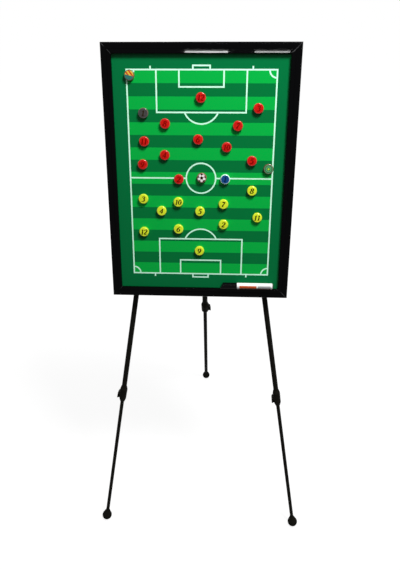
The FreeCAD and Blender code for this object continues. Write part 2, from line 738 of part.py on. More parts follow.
def lock_collar(name, place, size):
    """Moulded collar on the end of the upper tube, with a slot and two bosses for the lever."""
    body = body_at(name, place)
    shell = sketch_in(body, "XZ_Plane", "shell")
    widest = size.collar_body / 2
    shoulder = size.lock_top - size.shoulder_height
    seam = shoulder - size.seam_drop
    outline(shell, [
        (0, -size.lock_bottom),
        (size.collar_tail / 2, -size.lock_bottom),
        (size.collar_waist / 2, size.tail_height - size.lock_bottom),
        (widest, seam - size.seam_depth),
        (widest - size.seam_depth, seam - size.seam_depth),
        (widest - size.seam_depth, seam),
        (widest, seam),
        (widest, shoulder),
        (size.collar_mouth / 2, size.lock_top),
        (0, size.lock_top),
    ])
    revolve(body, shell, "V_Axis")
    boss = sketch_in(body, "XZ_Plane", "boss")
    reach = size.boss_round
    outline(boss, [
        (-size.pin_out, size.pin_rise + reach),
        (-size.pin_out - reach, size.pin_rise, reach, 1),
        (-size.pin_out, size.pin_rise - reach, reach, 1),
        (-size.collar_tail / 2, size.pin_rise - reach),
        (-size.collar_tail / 2, size.pin_rise + reach),
    ])
    lever_room = size.lever_width + size.lever_clearance * 2
    pad(body, boss, lever_room + size.boss_wall * 2)
    bores = sketch_in(body, "XZ_Plane", "bores")
    upper_seat = size.upper_diameter / 2 + size.fit_clearance
    lower_seat = size.lower_diameter / 2 + size.collar_clearance
    outline(bores, [
        (0, -size.lock_bottom * OVERCUT),
        (lower_seat, -size.lock_bottom * OVERCUT),
        (lower_seat, size.lock_seat),
        (upper_seat, size.lock_seat),
        (upper_seat, size.lock_top * OVERCUT),
        (0, size.lock_top * OVERCUT),
    ])
    groove(body, bores, "V_Axis")
    window = sketch_in(body, "XZ_Plane", "window")
    seat_end = size.pin_rise - size.lever_drop - size.finger_gap
    outline(window, [
        (-size.lower_diameter / 2, size.window_top),
        (-size.pin_out * OVERCUT, size.window_top),
        (-size.pin_out * OVERCUT, seat_end),
        (-size.lever_seat, seat_end),
        (-size.lever_seat, size.window_bottom),
        (-size.lower_diameter / 2, size.window_bottom),
    ])
    pocket(body, window, lever_room)
    hole = sketch_in(body, "XZ_Plane", "pin_hole")
    circle(hole, -size.pin_out, size.pin_rise, size.pin_diameter + size.fit_clearance * 2)
    pocket(body, hole, size.collar_body * OVERCUT)
    node(body, name)


def lock_lever(name, place, size):
    """Cam lever: a round cam on the pin and a thick arm let into the collar, flared at its tip."""
    body = body_at(name, place)
    profile = sketch_in(body, "XZ_Plane", "profile")
    cam = size.pin_out - size.lower_diameter / 2 - size.lever_clearance
    meets = root(cam * cam - (size.lever_inner - size.pin_out) * (size.lever_inner - size.pin_out))
    level = size.pin_rise
    outline(profile, [
        (-size.lever_inner, level - meets, cam, -1),
        (-size.lever_inner, level - size.lever_drop + size.lever_slant),
        (-size.lever_outer - size.lever_flare, level - size.lever_drop),
        (-size.lever_outer, level),
        (-size.pin_out, level + cam, size.lever_outer - size.pin_out, -1),
        (-size.pin_out + cam, level, cam, -1),
    ])
    pad(body, profile, size.lever_width)
    hole = sketch_in(body, "XZ_Plane", "pin_hole")
    circle(hole, -size.pin_out, level, size.pin_diameter + size.fit_clearance * 2)
    pocket(body, hole, size.lever_width * OVERCUT)
    node(body, name)


def foot(name, place, size):
    """Rubber ball with a tapered neck, worn flat on the floor."""
    body = body_at(f"{name}_ball", place)
    profile = sketch_in(body, "XZ_Plane", "profile")
    radius = size.ball_diameter / 2
    seat = size.lower_diameter / 2 + size.fit_clearance
    outline(profile, [
        (0, size.tube_seat),
        (0, -radius),
        (radius, 0, radius, 1),
        (radius * cosine(size.neck_angle), radius * sine(size.neck_angle), radius, 1),
        (size.neck_diameter / 2, size.neck_height),
        (seat, size.neck_height),
        (seat, size.tube_seat),
    ])
    revolve(body, profile, "V_Axis")
    spot = place.Base
    block = box(f"{name}_floor", size.ball_diameter * 2, size.ball_diameter * 2, size.ball_diameter,
                at(spot.x - size.ball_diameter, spot.y - size.ball_diameter, -size.ball_diameter))
    node(cut(name, body, block), name)


def leg(name, frame, size, pull, eye_turn):
    leg_eye(f"{name}_eye", frame * turned(Z_AXIS, eye_turn), size)
    tube_end = size.upper_reach - size.lock_seat
    node(tube(f"{name}_upper_tube", size.upper_diameter, size.upper_bore, tube_end - size.eye_below,
              frame * at(0, 0, -tube_end)), f"{name}_upper_tube")
    lock_place = frame * at(0, 0, -size.upper_reach)
    lock_collar(f"{name}_lock_collar", lock_place, size)
    lock_lever(f"{name}_lock_lever", lock_place, size)
    pin_length = size.lever_width + size.lever_clearance * 2 + size.boss_wall * 2
    pin_place = lock_place * at(-size.pin_out, pin_length / 2, size.pin_rise) * turned(X_AXIS, 90)
    node(cylinder(f"{name}_lock_pin", size.pin_diameter, pin_length, pin_place), f"{name}_lock_pin")
    foot_place = frame * at(0, 0, -size.upper_reach - pull)
    lower = tube(f"{name}_lower_pipe", size.lower_diameter, size.lower_bore, size.lower_length,
                 foot_place * at(0, 0, size.tube_seat))
    top_place = foot_place * at(0, 0, size.tube_seat + size.lower_length)
    bush_head = cylinder(f"{name}_bush_head", size.upper_bore - size.slide_clearance * 2, size.bush_height,
                         top_place)
    bush_stem = cylinder(f"{name}_bush_stem", size.lower_bore - size.fit_clearance * 2, size.bush_stem,
                         top_place * at(0, 0, -size.bush_stem))
    bush = fuse(f"{name}_bush", bush_head, bush_stem)
    node(group(f"{name}_lower_tube", [lower, bush]), f"{name}_lower_tube")
    foot(f"{name}_foot", foot_place, size)


front_frames = {}
for name, side in (("front_left", -1), ("front_right", 1)):
    front_frames[name] = (on_board(dim.pivot_spacing / 2 * side, leg_depth, pivot_height)
                          * turned(Y_AXIS, -dim.front_splay.number * side))
    leg(name, front_frames[name], front_leg, dim.front_pull, 0)
rear_frame = Placement(rear_pivot, Rotation()) * turned(X_AXIS, rear_lean) * turned(Z_AXIS, 180)
leg("rear", rear_frame, rear_leg, dim.rear_pull, 90)


# Magnets: a plastic cap with a ferrite disc in its back, flat on the printed face
def magnet(name, x, z):
    place = on_board(x, dim.face_recess, z) * turned(X_AXIS, 90)
    cap = body_at(f"{name}_cap", place)
    profile = sketch_in(cap, "XZ_Plane", "profile")
    radius = dim.magnet_diameter / 2
    shoulder = dim.magnet_height - dim.magnet_dome
    flat = radius - dim.magnet_round
    dome_radius = (flat * flat + dim.magnet_dome * dim.magnet_dome) / (dim.magnet_dome * 2)
    recess = dim.disc_diameter / 2 + dim.disc_clearance
    recess_depth = dim.disc_thickness + dim.disc_clearance
    outline(profile, [
        (recess, 0),
        (radius, 0),
        (radius, shoulder - dim.magnet_round),
        (flat, shoulder, dim.magnet_round, 1),
        (0, dim.magnet_height, dome_radius, 1),
        (0, recess_depth),
        (recess, recess_depth),
    ])
    revolve(cap, profile, "V_Axis")
    disc = cylinder(f"{name}_disc", dim.disc_diameter, dim.disc_thickness, place)
    node(group(name, [cap, disc]), name)


magnet_side = dim.rail_width + dim.magnet_diameter / 2 + dim.magnet_gap
reach_across = dim.board_width / 2 - magnet_side
reach_up = dim.board_height / 2 - magnet_side
for name, across, up in MAGNETS:
    magnet(name, reach_across * across, reach_up * up)

# Marker: it lies on the inner edge of the bottom rail, against the face
marker_axis_depth = dim.face_recess - dim.cap_diameter / 2 - dim.marker_clearance
lip_height = dim.rail_width - dim.board_height / 2
marker_axis_height = lip_height + dim.cap_diameter / 2 + dim.marker_clearance
marker_end = dim.board_width / 2 - dim.rail_width - dim.marker_gap
cap_mouth = marker_end - dim.tail_length - dim.barrel_length
marker_place = on_board(cap_mouth, marker_axis_depth, marker_axis_height)


def marker_barrel():
    body = body_at("marker_barrel_shell", marker_place)
    profile = sketch_in(body, "XZ_Plane", "profile")
    radius = dim.marker_diameter / 2
    nib_bore = dim.nib_diameter / 2 + dim.fit_clearance
    outline(profile, [
        (dim.nib_hold - dim.marker_neck_length, 0),
        (dim.barrel_length + dim.tail_length, 0),
        (dim.barrel_length + dim.tail_length, dim.tail_diameter / 2),
        (dim.barrel_length, dim.tail_diameter / 2),
        (dim.barrel_length, radius - dim.barrel_round),
        (dim.barrel_length - dim.barrel_round, radius, dim.barrel_round, 1),
        (0, radius),
        (0, dim.marker_neck / 2),
        (-dim.marker_neck_length, dim.marker_neck / 2),
        (-dim.marker_neck_length, nib_bore),
        (dim.nib_hold - dim.marker_neck_length, nib_bore),
    ])
    revolve(body, profile, "H_Axis")
    nib_start = -dim.marker_neck_length - dim.nib_length
    nib = cylinder("marker_nib", dim.nib_diameter, dim.nib_length + dim.nib_hold,
                   marker_place * at(nib_start, 0, 0) * turned(Y_AXIS, 90))
    node(group("marker_barrel", [body, nib]), "marker_barrel")


def marker_cap():
    body = body_at("marker_cap", marker_place)
    profile = sketch_in(body, "XZ_Plane", "profile")
    radius = dim.cap_diameter / 2
    bore = dim.marker_neck / 2 + dim.fit_clearance
    outline(profile, [
        (0, radius),
        (-dim.cap_length, radius),
        (-dim.cap_length, 0),
        (-dim.cap_hollow, 0),
        (-dim.cap_hollow, bore),
        (0, bore),
    ])
    revolve(body, profile, "H_Axis")
    slant = sketch_in(body, "XZ_Plane", "slant")
    outline(slant, [
        (-dim.cap_length, -radius),
        (dim.cap_slant - dim.cap_length, radius),
        (dim.cap_slant - dim.cap_length, radius * OVERCUT),
        (-dim.cap_length * OVERCUT, radius * OVERCUT),
        (-dim.cap_length * OVERCUT, -radius),
    ])
    pocket(body, slant, dim.cap_diameter * OVERCUT)
    node(body, "marker_cap")


marker_barrel()
marker_cap()

# Every object is sound before anything is written.
doc.recompute()
for thing in doc.Objects:
    if any(word in thing.State for word in ("Invalid", "Error")):
        raise RuntimeError(f"{thing.Name} failed: {thing.State}")
for thing in nodes:
    if thing.Shape.isNull() or not thing.Shape.isValid() or not thing.Shape.Solids:
        raise RuntimeError(f"{thing.Label} has no sound solid")

os.makedirs("parts", exist_ok=True)
for thing in nodes:
    thing.Shape.exportStep(os.path.join("parts", f"{thing.Label}.step"))
print(f"{len(nodes)} sub-parts, {sum(len(thing.Shape.Solids) for thing in nodes)} solids")
print(f"rear leg {rear_lean:.2f} degrees from upright, opened {rear_opening:.2f} from the board")
print(f"stand depth {stand_depth:.1f}, heel of the eye {plain(heel):.2f}")
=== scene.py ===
import json
import math

import bpy
from mathutils import Matrix, Vector
from mathutils.bvhtree import BVHTree


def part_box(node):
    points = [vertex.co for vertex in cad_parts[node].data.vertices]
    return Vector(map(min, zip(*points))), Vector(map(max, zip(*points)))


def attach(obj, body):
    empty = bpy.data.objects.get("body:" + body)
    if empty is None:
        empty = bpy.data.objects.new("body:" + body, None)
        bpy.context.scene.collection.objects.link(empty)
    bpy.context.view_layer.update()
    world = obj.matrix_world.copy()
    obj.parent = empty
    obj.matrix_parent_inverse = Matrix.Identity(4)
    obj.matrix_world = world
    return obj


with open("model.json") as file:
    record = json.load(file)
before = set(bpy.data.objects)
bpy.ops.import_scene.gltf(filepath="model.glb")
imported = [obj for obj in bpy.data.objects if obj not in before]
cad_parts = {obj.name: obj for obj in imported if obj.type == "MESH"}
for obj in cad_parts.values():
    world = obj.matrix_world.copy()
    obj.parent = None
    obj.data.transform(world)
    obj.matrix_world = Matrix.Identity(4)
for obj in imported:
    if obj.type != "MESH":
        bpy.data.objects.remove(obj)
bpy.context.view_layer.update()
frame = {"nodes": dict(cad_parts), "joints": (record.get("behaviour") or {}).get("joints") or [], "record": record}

MM = 0.001

# Frame of the board: four lengths of hollow aluminium profile under a glossy black coat,
# mitred and drawn together over corner keys. A pale broken line is painted along the mitres
# as a painted highlight of their glints, and the coat carries a little dust.
nodes = frame["nodes"]


def joint_axis(name):
    """The direction that a joint moves in or turns about."""
    return Vector(next(joint["axis"] for joint in frame["joints"] if joint["name"] == name))


out = joint_axis("marker_lift")
right = Vector((1, 0, 0))
up = out.cross(right)
board_middle = sum(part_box("face_sheet"), Vector()) / 2


def reach(node, direction):
    """How far a node extends from the middle of the board in one direction."""
    return max((vertex.co - board_middle).dot(direction) for vertex in nodes[node].data.vertices)


class Field:
    """A value that changes over a surface. Arithmetic on it adds Math nodes to its material."""

    def __init__(self, tree, socket):
        self.tree = tree
        self.socket = socket

    def node(self, kind, settings, inputs, output=0):
        made = self.tree.nodes.new(kind)
        for name, value in settings.items():
            setattr(made, name, value)
        for name, value in inputs.items():
            if isinstance(value, Field):
                self.tree.links.new(value.socket, made.inputs[name])
            else:
                made.inputs[name].default_value = value
        return Field(self.tree, made.outputs[output])

    def math(self, operation, *values):
        return self.node("ShaderNodeMath", {"operation": operation}, dict(enumerate(values)))

    def __add__(self, other):
        return self.math("ADD", self, other)

    __radd__ = __add__

    def __sub__(self, other):
        return self.math("SUBTRACT", self, other)

    def __rsub__(self, other):
        return self.math("SUBTRACT", other, self)

    def __mul__(self, other):
        return self.math("MULTIPLY", self, other)

    __rmul__ = __mul__

    def __mod__(self, other):
        return self.math("FLOORED_MODULO", self, other)

    def __abs__(self):
        return self.math("ABSOLUTE", self)

    def __lt__(self, other):
        return self.math("LESS_THAN", self, other)

    def __gt__(self, other):
        return self.math("GREATER_THAN", self, other)


def finish(name, constants):
    """A new material with these constants on its shader, and the place on its surface."""
    material = bpy.data.materials.new(name)
    material.use_nodes = True
    tree = material.node_tree
    for socket, value in constants.items():
        tree.nodes["Principled BSDF"].inputs[socket].default_value = value
    return material, Field(tree, tree.nodes.new("ShaderNodeTexCoord").outputs["Object"])


def feed(material, socket, field):
    material.node_tree.links.new(field.socket, material.node_tree.nodes["Principled BSDF"].inputs[socket])


def noise(place, count, detail=3.0):
    """Noise of 0 to 1 with about so many specks along a metre."""
    return place.node("ShaderNodeTexNoise", {}, {"Vector": place, "Scale": count, "Detail": detail})


def blotch(field, start, full):
    """0 up to the level of a field where a blotch starts, 1 from where it is full, and smooth between."""
    return field.node("ShaderNodeMapRange", {"interpolation_type": "SMOOTHSTEP"},
                      {"Value": field, "From Min": start, "From Max": full})


def specks(place, count, start, full, detail=3.0):
    """Blotches of noise: how many along a metre, and the levels where they start and are full."""
    return blotch(noise(place, count, detail), start, full)


def mix(factor, first, second):
    return factor.node("ShaderNodeMix", {"data_type": "RGBA"}, {0: factor, 6: first, 7: second}, 2)


def emboss(material, height, depth):
    """Raise the surface by a field of 0 to 1, to a depth in metres."""
    bump = height.node("ShaderNodeBump", {}, {"Height": height, "Distance": depth}, "Normal")
    feed(material, "Normal", bump)


def vector_math(operation, inputs, output=0):
    """A Vector Math node on fields and plain vectors, at least one of them a field."""
    field = next(value for value in inputs.values() if isinstance(value, Field))
    return field.node("ShaderNodeVectorMath", {"operation": operation}, inputs, output)


def along(place, direction, start):
    """How far a place on the surface lies from a start in one direction."""
    offset = vector_math("SUBTRACT", {0: place, 1: start})
    return vector_math("DOT_PRODUCT", {0: offset, 1: direction}, "Value")


def dress(names, material):
    for name in names:
        nodes[name].data.materials.clear()
        nodes[name].data.materials.append(material)


RAILS = [name for name in nodes if name.startswith("frame_rail_")]
RAIL_BLACK = (0.0008, 0.0008, 0.0011, 1)
RAIL_DUST = (0.0035, 0.0035, 0.004, 1)
RAIL_SHINE = 0.03
RAIL_ROUGH, CLOUD_ROUGH, DUST_ROUGH = 0.02, 0.015, 0.25
RAIL_CLOUDS = 25
RIPPLES, RIPPLE_DEPTH = (450, 1.0), 0.0004 * MM
DUST_SPECKS, DUST_DRIFTS = (900, 0.58, 0.72), (14, 0.35, 0.7)
MITRE_GLINT_PAINT = (0.08, 0.08, 0.085, 1)
MITRE_LINE = 0.6 * MM
MITRE_GLINT_BREAKS = (60, 0.42, 0.6)
half_width = reach("frame_rail_right", right)
half_height = reach("frame_rail_top", up)

rail_coat, place = finish("rail_coat", {"Specular IOR Level": RAIL_SHINE})
aside = half_width - abs(along(place, right, board_middle))
below = half_height - abs(along(place, up, board_middle))
# A pale line along the mitres, broken up by noise: a painted highlight for the glints on the mitred edges.
mitre_glint = (abs(aside - below) < MITRE_LINE) * specks(place, *MITRE_GLINT_BREAKS)
dusty = specks(place, *DUST_SPECKS) * specks(place, *DUST_DRIFTS)
feed(rail_coat, "Base Color", mix(mitre_glint, mix(dusty, RAIL_BLACK, RAIL_DUST), MITRE_GLINT_PAINT))
feed(rail_coat, "Roughness", RAIL_ROUGH + CLOUD_ROUGH * noise(place, RAIL_CLOUDS) + DUST_ROUGH * dusty)
emboss(rail_coat, noise(place, *RIPPLES), RIPPLE_DEPTH)
dress(RAILS, rail_coat)

# Corner keys: angles of bare extruded aluminium, hidden in the hollow of each mitre.
# They are sawn from bar, with fine lines along it.
KEY_GREY = (0.55, 0.55, 0.56, 1)
KEY_DARK = (0.40, 0.40, 0.41, 1)
KEY_ROUGH, SAW_ROUGH = 0.3, 0.2
SAW_LINES, SAW_STRETCH, SAW_DEPTH = 200, (1, 1, 30), 0.02 * MM


def stretch(place, scales):
    """A place scaled along its axes, which draws noise out into lines."""
    return vector_math("MULTIPLY", {0: place, 1: scales})


key_metal, place = finish("key_metal", {"Metallic": 1.0})
sawn = noise(stretch(place, SAW_STRETCH), SAW_LINES)
feed(key_metal, "Base Color", mix(sawn, KEY_GREY, KEY_DARK))
feed(key_metal, "Roughness", KEY_ROUGH + SAW_ROUGH * sawn)
emboss(key_metal, sawn, SAW_DEPTH)
dress(["corner_keys"], key_metal)

# Printed face: a thin steel sheet with a pitch printed on it in two greens under a clear gloss laminate.
# The stripes run across the pitch, the first and the last of them light, inside a dark green border.
# Faint rubbed patches and wiped scratches dull the laminate.
STRIPES = 17
PITCH_SHIFT = right * 2.0 * MM + up * 2.1 * MM
PITCH_HALF_WIDTH = 170.4 * MM
PITCH_HALF_LENGTH = 241.2 * MM
LIGHT_GREEN = (0.002, 0.41, 0.052, 1)
DARK_GREEN = (0.0005, 0.155, 0.036, 1)
BORDER_GREEN = (0.0005, 0.145, 0.040, 1)
PRINT_MOTTLE = (0.002, 0.26, 0.05, 1)
PRINT_GRAIN, PRINT_MOTTLED = 500, 0.10
FILM_SHINE = 0.025
FILM_ROUGH, RUB_ROUGH, WIPE_ROUGH = 0.05, 0.05, 0.05
FILM_RUBS = (9, 0.45, 0.75)
FILM_WIPES, WIPE_STRETCH = (30, 0.62, 0.7), (4, 60, 60)
FILM_WAVES, WAVE_DEPTH = (12, 1.0), 0.05 * MM
pitch_middle = board_middle + PITCH_SHIFT
face_front = reach("face_sheet", out)


def laminate(name):
    """The clear gloss film over the print, and the place on it."""
    material, place = finish(name, {"Specular IOR Level": FILM_SHINE})
    rubbed = specks(place, *FILM_RUBS)
    wiped = specks(stretch(place, WIPE_STRETCH), *FILM_WIPES)
    feed(material, "Roughness", FILM_ROUGH + RUB_ROUGH * rubbed + WIPE_ROUGH * wiped)
    emboss(material, noise(place, *FILM_WAVES), WAVE_DEPTH)
    return material, place


pitch_print, place = laminate("pitch_print")
across = along(place, right, pitch_middle)
along_pitch = along(place, up, pitch_middle)
stripe = (along_pitch + PITCH_HALF_LENGTH) * (STRIPES / (2 * PITCH_HALF_LENGTH))
light_stripe = (stripe % 2) < 1
on_pitch = (abs(across) < PITCH_HALF_WIDTH) * (abs(along_pitch) < PITCH_HALF_LENGTH)
grass = mix(on_pitch, BORDER_GREEN, mix(light_stripe, DARK_GREEN, LIGHT_GREEN))
feed(pitch_print, "Base Color", mix(PRINT_MOTTLED * noise(place, PRINT_GRAIN), grass, PRINT_MOTTLE))
dress(["face_sheet"], pitch_print)

# Pitch lines: white ink over the greens, a hair proud of them. They are the usual markings
# of a football pitch, with goals and short ticks outside the goal lines.
LINE = 3.4 * MM
INK = 0.04 * MM
SHARPEST_MITRE = 0.5
PENALTY_HALF, PENALTY_DEEP = 103.2 * MM, 91.3 * MM
GOAL_AREA_HALF, GOAL_AREA_DEEP = 51 * MM, 36.3 * MM
GOAL_HALF, GOAL_DEEP = 19.4 * MM, 8.7 * MM
TICK_PLACE, TICK_LENGTH = 116 * MM, 6 * MM
PENALTY_SPOT, SPOT_RADIUS, SPOT_STEPS = 62 * MM, 2.5 * MM, 20
CIRCLE_RADIUS, CIRCLE_STEPS = 35.4 * MM, 72
ARC_RADIUS, ARC_DEEP, ARC_STEPS = 42.7 * MM, 25.3 * MM, 24
CORNER_RADIUS, CORNER_HALF_TURN, CORNER_STEPS = 17 * MM, 39, 12
LINE_WHITE = (0.61, 1.0, 0.79, 1)
LINE_WORN = (0.55, 0.93, 0.72, 1)
LINE_WEAR = (40, 0.4, 0.8)


class Print:
    """A thin raised print: ribbons and patches drawn on a plane and laid on a surface."""

    def __init__(self, name, lay):
        self.name = name
        self.lay = lay
        self.points = []
        self.faces = []

    def corner(self, spot):
        """Two points, above and below the surface at a spot of the plane."""
        self.points += [self.lay(spot, INK), self.lay(spot, -INK)]
        return len(self.points) - 2

    def ribbon(self, spots, widths, closed=False):
        """A line through spots with a width at each, mitred where it turns."""
        count = len(spots)
        edges = []
        for index, spot in enumerate(spots):
            before = spots[index - 1] if index or closed else spot
            after = spots[(index + 1) % count] if index + 1 < count or closed else spot
            arriving = (spot - before).normalized()
            leaving = (after - spot).normalized()
            heading = (arriving + leaving).normalized()
            mitre = max(heading.dot(arriving if arriving.length else leaving), SHARPEST_MITRE)
            side = Vector((-heading.y, heading.x)) * (widths[index] / 2 / mitre)
            edges.append((self.corner(spot + side), self.corner(spot - side)))
        spans = range(count if closed else count - 1)
        for index in spans:
            left, right_edge = edges[index]
            next_left, next_right = edges[(index + 1) % count]
            self.faces.append((left, right_edge, next_right, next_left))
            self.faces.append((left + 1, next_left + 1, next_right + 1, right_edge + 1))
            self.faces.append((left, next_left, next_left + 1, left + 1))
            self.faces.append((next_right, right_edge, right_edge + 1, next_right + 1))
        if not closed:
            for left, right_edge in (edges[0], edges[-1][::-1]):
                self.faces.append((right_edge, left, left + 1, right_edge + 1))

    def patch(self, spots):
        """A filled outline that its middle can see."""
        middle = self.corner(sum(spots, Vector((0, 0))) / len(spots))
        rim = [self.corner(spot) for spot in spots]
        for here, there in zip(rim, rim[1:] + rim[:1]):
            self.faces.append((middle, here, there))
            self.faces.append((middle + 1, there + 1, here + 1))
            self.faces.append((there, here, here + 1, there + 1))

    def piece(self, material, body, slot):
        """Make the print a piece that rides on a body."""
        mesh = bpy.data.meshes.new(self.name)
        mesh.from_pydata(self.points, [], self.faces)
        mesh.materials.append(material)
        made = bpy.data.objects.new(self.name, mesh)
        bpy.context.scene.collection.objects.link(made)
        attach(made, body)


def spot_at(center, radius, angle):
    """The spot at a radius from a center, at an angle in degrees from the right."""
    turned = math.radians(angle)
    return center + Vector((math.cos(turned), math.sin(turned))) * radius


def arc(center, radius, start, end, steps):
    """Spots along an arc between two angles in degrees from the right."""
    return [spot_at(center, radius, start + (end - start) * step / steps) for step in range(steps + 1)]


def on_face(spot, height):
    return pitch_middle + right * spot.x + up * spot.y + out * (face_front + height)


lines = Print("pitch_lines", on_face)


def draw_line(spots, closed=False):
    lines.ribbon(spots, [LINE] * len(spots), closed)


kick_off = Vector((0, 0))
edge_x = PITCH_HALF_WIDTH
edge_y = PITCH_HALF_LENGTH
draw_line([Vector((edge_x, edge_y)), Vector((-edge_x, edge_y)), Vector((-edge_x, -edge_y)),
           Vector((edge_x, -edge_y))], closed=True)
for side in (-1, 1):
    draw_line([Vector((CIRCLE_RADIUS + LINE / 2, 0)) * side, Vector((edge_x - LINE / 2, 0)) * side])
draw_line(arc(kick_off, CIRCLE_RADIUS, 0, 360, CIRCLE_STEPS)[:-1], closed=True)
for end in (-1, 1):
    inside = edge_y - LINE / 2
    outside = edge_y + LINE / 2
    for half, deep in ((PENALTY_HALF, PENALTY_DEEP), (GOAL_AREA_HALF, GOAL_AREA_DEEP)):
        draw_line([Vector((-half, inside * end)), Vector((-half, (edge_y - deep) * end)),
                   Vector((half, (edge_y - deep) * end)), Vector((half, inside * end))])
    draw_line([Vector((-GOAL_HALF, outside * end)), Vector((-GOAL_HALF, (edge_y + GOAL_DEEP) * end)),
               Vector((GOAL_HALF, (edge_y + GOAL_DEEP) * end)), Vector((GOAL_HALF, outside * end))])
    for side in (-1, 1):
        draw_line([Vector((TICK_PLACE * side, outside * end)),
                   Vector((TICK_PLACE * side, (outside + TICK_LENGTH) * end))])
        inward = math.degrees(math.atan2(-end, -side))
        draw_line(arc(Vector((edge_x * side, edge_y * end)), CORNER_RADIUS,
                      inward - CORNER_HALF_TURN, inward + CORNER_HALF_TURN, CORNER_STEPS))
    penalty_spot = Vector((0, (edge_y - PENALTY_SPOT) * end))
    lines.patch(arc(penalty_spot, SPOT_RADIUS, 0, 360, SPOT_STEPS)[:-1])
    arc_rise = ARC_RADIUS - ARC_DEEP
    arc_middle = Vector((0, (edge_y - PENALTY_DEEP + arc_rise) * end))
    half_turn = math.degrees(math.acos((arc_rise + LINE / 2) / ARC_RADIUS))
    draw_line(arc(arc_middle, ARC_RADIUS, -90 * end - half_turn, -90 * end + half_turn, ARC_STEPS))

line_ink, place = laminate("line_ink")
feed(line_ink, "Base Color", mix(specks(place, *LINE_WEAR), LINE_WHITE, LINE_WORN))
lines.piece(line_ink, "board", "pitch_print")

# Core and back of the panel: a sheet of brown fibreboard, and a steel sheet on it
# with a satin grey coat, lightly scuffed by the folded legs.
FIBRE_LIGHT = (0.45, 0.30, 0.17, 1)
FIBRE_DARK = (0.25, 0.15, 0.08, 1)
FIBRE_ROUGH = 0.9
FIBRES, FIBRE_STRETCH, FIBRE_DEPTH = (700, 6.0), (1, 4, 1), 0.1 * MM
FIBRE_START, FIBRE_FULL = 0.35, 0.65
BACK_GREY = (0.30, 0.31, 0.32, 1)
BACK_SCUFF = (0.40, 0.41, 0.42, 1)
BACK_SHINE = 0.4
BACK_ROUGH, PEEL_ROUGH, SCUFF_ROUGH = 0.38, 0.12, 0.1
BACK_CLOUDS = 4
PEEL, PEEL_DEPTH = (700, 2.0), 0.02 * MM
SCUFFS, SCUFF_STRETCH, SCUFF_PATCHES = (12, 0.60, 0.72, 5.0), (60, 3, 3), (6, 0.4, 0.7)

fibreboard, place = finish("fibreboard", {"Roughness": FIBRE_ROUGH})
fibres = noise(stretch(place, FIBRE_STRETCH), *FIBRES)
feed(fibreboard, "Base Color", mix(blotch(fibres, FIBRE_START, FIBRE_FULL), FIBRE_DARK, FIBRE_LIGHT))
emboss(fibreboard, fibres, FIBRE_DEPTH)
dress(["core_panel"], fibreboard)

back_coat, place = finish("back_coat", {"Specular IOR Level": BACK_SHINE})
peel = noise(place, *PEEL)
scuffed = specks(stretch(place, SCUFF_STRETCH), *SCUFFS) * specks(place, *SCUFF_PATCHES)
clouded = mix(noise(place, BACK_CLOUDS), BACK_GREY, BACK_SCUFF)
feed(back_coat, "Base Color", mix(scuffed, clouded, BACK_SCUFF))
feed(back_coat, "Roughness", BACK_ROUGH + PEEL_ROUGH * peel + SCUFF_ROUGH * scuffed)
emboss(back_coat, peel, PEEL_DEPTH)
dress(["back_sheet"], back_coat)

# Head bracket, leg tubes and lock pins: pressed and drawn steel under a black satin powder coat.
# The coat has a fine pebbled skin, and the thin tubes are rubbed along their length by the locks.
LEGS = ("front_left", "front_right", "rear")
COAT_BLACK = (0.0085, 0.0078, 0.0062, 1)
COAT_RUBBED = (0.020, 0.0185, 0.0160, 1)
COAT_SHINE = 0.018
COAT_ROUGH, PEBBLE_ROUGH, COAT_SMOOTHED = 0.34, 0.16, 0.10
PEBBLES, PEBBLE_DEPTH = (1500, 2.0), 0.015 * MM
RUB_LINES, RUB_PATCHES, RUB_SHARE = (1200, 0.55, 0.75), (20, 0.4, 0.7), 0.5


def powder_coat(name, length):
    """Black powder coat, rubbed in lines along one direction."""
    material, place = finish(name, {"Specular IOR Level": COAT_SHINE})
    pebbles = noise(place, *PEBBLES)
    lengthwise = vector_math("SCALE", {0: length, "Scale": along(place, length, board_middle)})
    crosswise = vector_math("SUBTRACT", {0: place, 1: lengthwise})
    rubbed = specks(crosswise, *RUB_LINES) * specks(place, *RUB_PATCHES)
    feed(material, "Base Color", mix(RUB_SHARE * rubbed, COAT_BLACK, COAT_RUBBED))
    feed(material, "Roughness", COAT_ROUGH + PEBBLE_ROUGH * pebbles - COAT_SMOOTHED * rubbed)
    emboss(material, pebbles, PEBBLE_DEPTH)
    return material


dress(["head_bracket"], powder_coat("bracket_coat", right))
for leg in LEGS:
    leg_coat = powder_coat(f"{leg}_coat", joint_axis(f"{leg}_slide"))
    dress([f"{leg}_upper_tube", f"{leg}_lower_tube", f"{leg}_lock_pin"], leg_coat)

# Fasteners: zinc plated screws of the bracket, and the bolts, washers and nuts of the leg pivots.
# The plating is bright with dull, faintly yellow patches.
ZINC = (0.62, 0.62, 0.60, 1)
ZINC_DULL = (0.45, 0.43, 0.36, 1)
ZINC_ROUGH, DULL_ROUGH = 0.24, 0.2
DULL_PATCHES = (180, 0.4, 0.7, 4.0)
PLATING, PLATING_DEPTH = 1200, 0.01 * MM
zinc, place = finish("zinc", {"Metallic": 1.0})
dull = specks(place, *DULL_PATCHES)
feed(zinc, "Base Color", mix(dull, ZINC, ZINC_DULL))
feed(zinc, "Roughness", ZINC_ROUGH + DULL_ROUGH * dull)
emboss(zinc, noise(place, PLATING), PLATING_DEPTH)
dress(["bracket_fasteners"], zinc)

